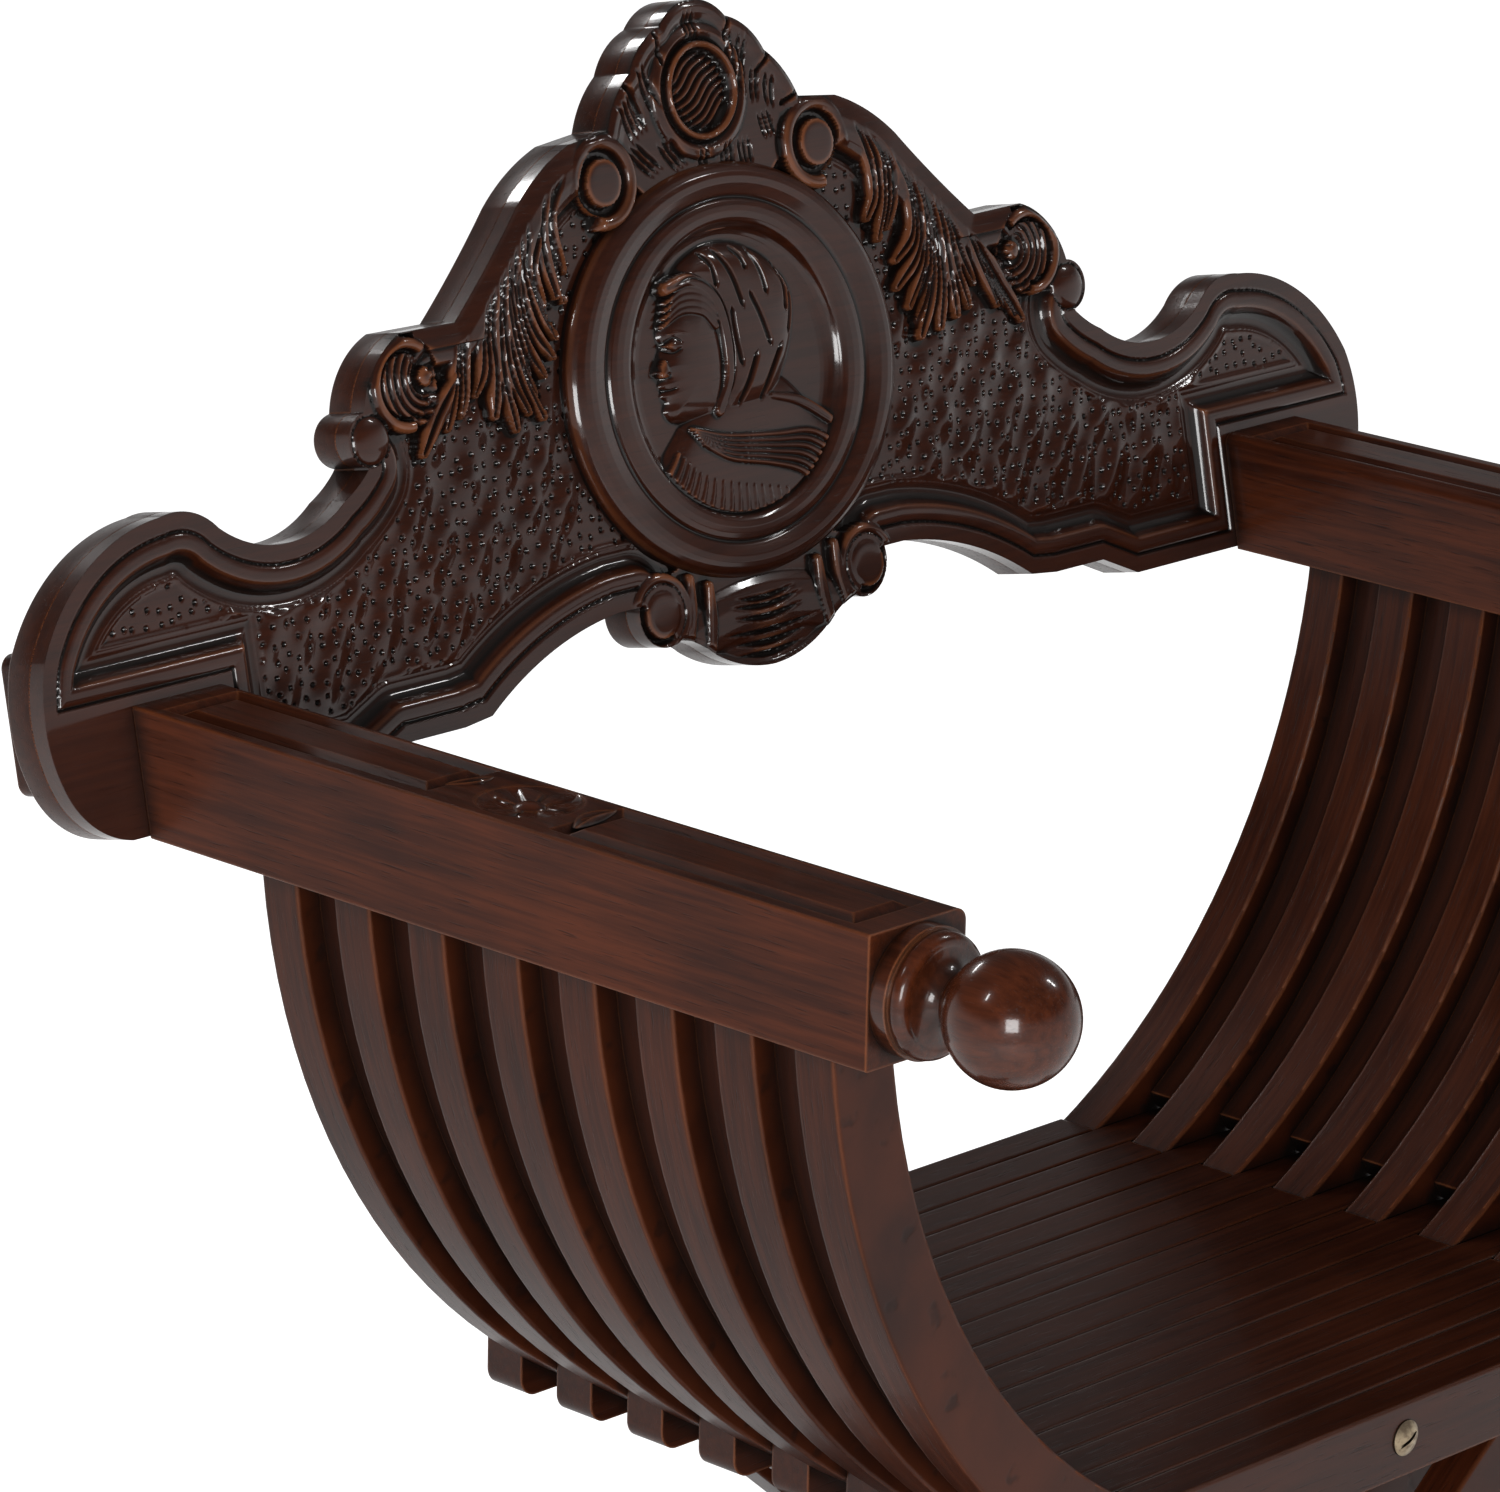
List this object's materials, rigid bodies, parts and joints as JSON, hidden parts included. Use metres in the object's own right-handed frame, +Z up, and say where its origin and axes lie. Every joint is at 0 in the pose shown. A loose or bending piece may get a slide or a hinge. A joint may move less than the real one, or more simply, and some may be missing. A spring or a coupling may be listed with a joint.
{
  "type": "savonarola chair",
  "caption": "Folding armchair of S-shaped slats that cross in two interleaved frames, with a hinged slatted seat, ball finials on the arms and a carved crest rail.",
  "frame": {"origin": "on the floor, in the middle of the chair's width and depth", "axes": "+X to the right as seen from the front, +Y towards the back, +Z up"},
  "size_m": [0.659, 0.438, 0.8903],
  "materials": {
    "walnut_lacquer": "satin lacquer",
    "aged_brass": "aged",
    "steel_rod": "dull"
  },
  "bodies": {
    "left_frame": {"left_arm": "walnut_lacquer", "left_finial": "walnut_lacquer", "right_foot": "walnut_lacquer", "left_cleat": "walnut_lacquer", "left_crest_pin": "walnut_lacquer", "left_spacers": "walnut_lacquer", "crossing_rod": "steel_rod", "crossing_rod_cap": "aged_brass", "crossing_screw": "aged_brass", "left_slat_1": "walnut_lacquer", "left_slat_2": "walnut_lacquer", "left_slat_3": "walnut_lacquer", "left_slat_4": "walnut_lacquer", "left_slat_5": "walnut_lacquer", "left_slat_6": "walnut_lacquer", "left_slat_7": "walnut_lacquer", "left_slat_8": "walnut_lacquer"},
    "right_frame": {"right_arm": "walnut_lacquer", "right_finial": "walnut_lacquer", "left_foot": "walnut_lacquer", "right_cleat": "walnut_lacquer", "right_crest_pin": "walnut_lacquer", "right_spacers": "walnut_lacquer", "right_slat_1": "walnut_lacquer", "right_slat_2": "walnut_lacquer", "right_slat_3": "walnut_lacquer", "right_slat_4": "walnut_lacquer", "right_slat_5": "walnut_lacquer", "right_slat_6": "walnut_lacquer", "right_slat_7": "walnut_lacquer", "right_slat_8": "walnut_lacquer"},
    "seat_left": {"left_hinge_rod": "steel_rod", "left_seat_slat_1": "walnut_lacquer", "left_seat_slat_2": "walnut_lacquer", "left_seat_slat_3": "walnut_lacquer", "left_seat_slat_4": "walnut_lacquer", "left_seat_slat_5": "walnut_lacquer", "left_seat_slat_6": "walnut_lacquer", "left_seat_slat_7": "walnut_lacquer", "left_seat_slat_8": "walnut_lacquer"},
    "seat_right": {"right_hinge_rod": "steel_rod", "seat_rod": "steel_rod", "seat_screw": "aged_brass", "right_seat_slat_1": "walnut_lacquer", "right_seat_slat_2": "walnut_lacquer", "right_seat_slat_3": "walnut_lacquer", "right_seat_slat_4": "walnut_lacquer", "right_seat_slat_5": "walnut_lacquer", "right_seat_slat_6": "walnut_lacquer", "right_seat_slat_7": "walnut_lacquer", "right_seat_slat_8": "walnut_lacquer"},
    "crest": {"crest_rail": "walnut_lacquer"}
  },
  "joints": [
    {"name": "fold", "type": "hinge", "parent": "left_frame", "child": "right_frame", "pos_m": [0, 0, 0.3575], "axis": [0, -1, 0], "range_deg": [0, 50]},
    {"name": "seat_left_hinge", "type": "hinge", "parent": "left_frame", "child": "seat_left", "pos_m": [-0.137, 0, 0.4581], "axis": [0, -1, 0], "range_deg": [0, 82]},
    {"name": "seat_right_hinge", "type": "hinge", "parent": "right_frame", "child": "seat_right", "pos_m": [0.137, 0, 0.4581], "axis": [0, -1, 0], "range_deg": [-68, 0]},
    {"name": "crest_swing", "type": "hinge", "parent": "left_frame", "child": "crest", "pos_m": [-0.27185, 0.15685, 0.68146], "axis": [0, -0.9781, 0.2079], "range_deg": [0, 90]}
  ],
  "couplings": [
    {"joint": "seat_left_hinge", "follows": "fold", "ratio": 1.64},
    {"joint": "seat_right_hinge", "follows": "fold", "ratio": -1.36},
    {"joint": "crest_swing", "follows": "fold", "ratio": 1.8}
  ]
}
